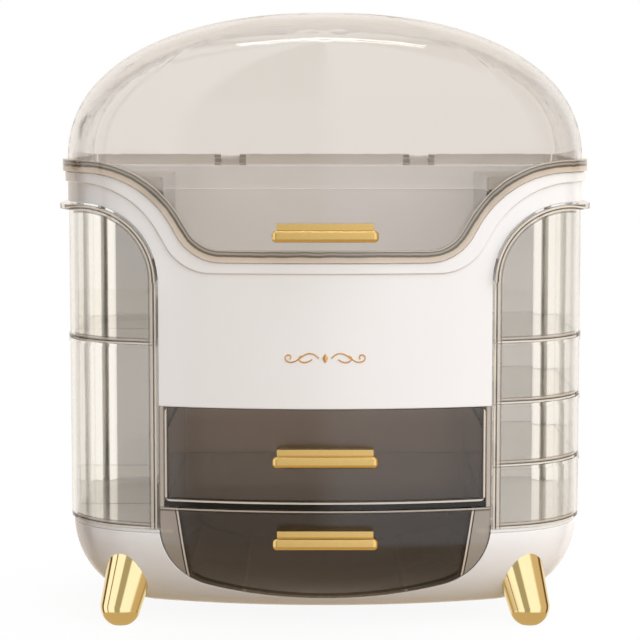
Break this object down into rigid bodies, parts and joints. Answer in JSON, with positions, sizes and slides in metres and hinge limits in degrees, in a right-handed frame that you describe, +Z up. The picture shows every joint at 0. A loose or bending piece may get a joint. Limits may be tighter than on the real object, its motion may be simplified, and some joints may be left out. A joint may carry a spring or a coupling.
{
  "type": "makeup organizer",
  "caption": "Free-standing white makeup organizer on gold legs: clear hinged dome lid, smoked drawers, and clear side bins that swing out on rear pins.",
  "frame": {"origin": "middle of the bounding box, on the surface that the legs stand on", "axes": "+Z up, +X to the right of someone facing the drawers, -Y towards that person"},
  "size_m": [0.321, 0.2178, 0.3643],
  "materials": {
    "white_plastic": "polished white moulding",
    "clear_plastic": "clear, faint warm tint",
    "smoked_plastic": "clear smoked moulding",
    "taupe_plastic": "satin taupe moulding",
    "gold_plating": "gold electroplate on plastic",
    "steel": "zinc-plated steel"
  },
  "bodies": {
    "body": {"base_shell": "white_plastic", "base_deck": "white_plastic", "leg_front_left": "gold_plating", "leg_front_right": "gold_plating", "leg_rear_left": "gold_plating", "leg_rear_right": "gold_plating", "leg_screws": "steel", "drawer_housing": "taupe_plastic", "drawer_shelf": "taupe_plastic", "body_shell": "white_plastic", "back_panel": "white_plastic", "lid_hinge_pins": "steel", "left_bin_pin": "steel", "right_bin_pin": "steel", "top_pocket_left": "clear_plastic", "top_pocket_right": "clear_plastic"},
    "lid": {"lid_dome": "clear_plastic", "lid_handle": "gold_plating", "lid_handle_screws": "steel"},
    "middle_drawer": {"middle_drawer_tray": "smoked_plastic", "middle_drawer_handle": "gold_plating", "middle_drawer_handle_screws": "steel"},
    "bottom_drawer": {"bottom_drawer_tray": "smoked_plastic", "bottom_drawer_handle": "gold_plating", "bottom_drawer_handle_screws": "steel"},
    "left_lower_bin": {"left_bin_lower": "clear_plastic", "left_divider_lower": "clear_plastic"},
    "left_upper_bin": {"left_bin_upper": "clear_plastic", "left_divider_upper": "clear_plastic"},
    "right_bottom_bin": {"right_bin_bottom": "clear_plastic"},
    "right_lower_bin": {"right_bin_lower": "clear_plastic"},
    "right_upper_bin": {"right_bin_upper": "clear_plastic"},
    "right_top_bin": {"right_bin_top": "clear_plastic"}
  },
  "joints": [
    {"name": "lid_hinge", "type": "hinge", "parent": "body", "child": "lid", "pos_m": [0, 0.10555, 0.273], "axis": [-1, 0, 0], "range_deg": [0, 100]},
    {"name": "middle_drawer_slide", "type": "slide", "parent": "body", "child": "middle_drawer", "axis": [0, -1, 0], "range_m": [0, 0.12]},
    {"name": "bottom_drawer_slide", "type": "slide", "parent": "body", "child": "bottom_drawer", "axis": [0, -1, 0], "range_m": [0, 0.11]},
    {"name": "left_lower_bin_swing", "type": "hinge", "parent": "body", "child": "left_lower_bin", "pos_m": [-0.1465, 0.08955, 0.1], "axis": [0, 0, -1], "range_deg": [0, 90]},
    {"name": "left_upper_bin_swing", "type": "hinge", "parent": "body", "child": "left_upper_bin", "pos_m": [-0.1465, 0.08955, 0.1], "axis": [0, 0, -1], "range_deg": [0, 90]},
    {"name": "right_bottom_bin_swing", "type": "hinge", "parent": "body", "child": "right_bottom_bin", "pos_m": [0.1465, 0.08955, 0.1], "axis": [0, 0, 1], "range_deg": [0, 90]},
    {"name": "right_lower_bin_swing", "type": "hinge", "parent": "body", "child": "right_lower_bin", "pos_m": [0.1465, 0.08955, 0.1], "axis": [0, 0, 1], "range_deg": [0, 90]},
    {"name": "right_upper_bin_swing", "type": "hinge", "parent": "body", "child": "right_upper_bin", "pos_m": [0.1465, 0.08955, 0.1], "axis": [0, 0, 1], "range_deg": [0, 90]},
    {"name": "right_top_bin_swing", "type": "hinge", "parent": "body", "child": "right_top_bin", "pos_m": [0.1465, 0.08955, 0.1], "axis": [0, 0, 1], "range_deg": [0, 90]}
  ]
}
